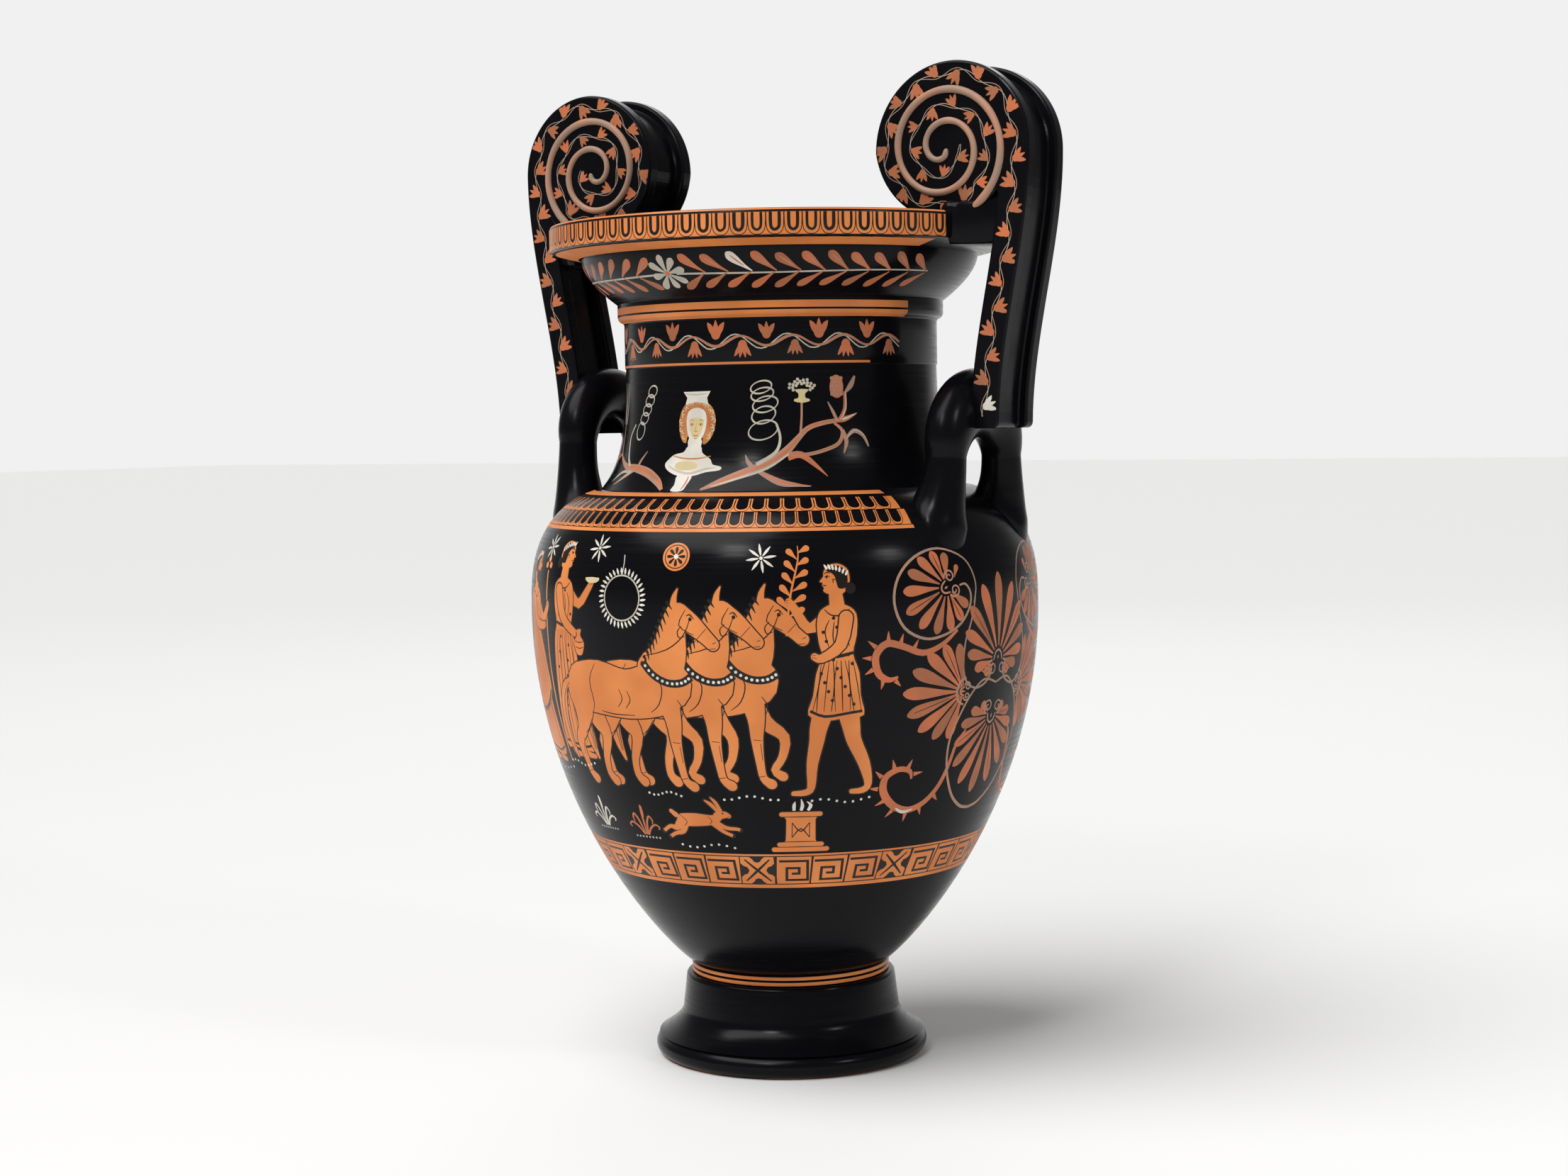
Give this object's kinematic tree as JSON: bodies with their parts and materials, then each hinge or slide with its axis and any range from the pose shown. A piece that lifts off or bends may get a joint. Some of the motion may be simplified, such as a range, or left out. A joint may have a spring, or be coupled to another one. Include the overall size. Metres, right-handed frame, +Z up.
{
  "type": "volute krater",
  "caption": "Tall two-handled mixing bowl in black-gloss red-figure clay, with a wide mouth, a footed body and scroll handles that rise above the rim.",
  "frame": {"origin": "middle of the foot's underside, on the vessel's turning axis", "axes": "+Z up along the turning axis, +X out through the right handle, -Y towards the main picture"},
  "size_m": [0.3602, 0.3132, 0.5997],
  "materials": {
    "black_gloss": "blue-black satin slip with fine brush streaks",
    "orange_clay": "satin orange clay with a fine grain",
    "pink_wash": "thin salmon and tan wash, uneven",
    "cream_slip": "cream slip laid on in strokes",
    "white_slip": "white slip, slightly raised grain",
    "yellow_slip": "diluted yellow-brown slip",
    "relief_line": "dark brown-black drawn line",
    "inner_gloss": "thinner black slip inside, with turning rings"
  },
  "bodies": {
    "root": {"krater": "black_gloss"}
  },
  "joints": []
}
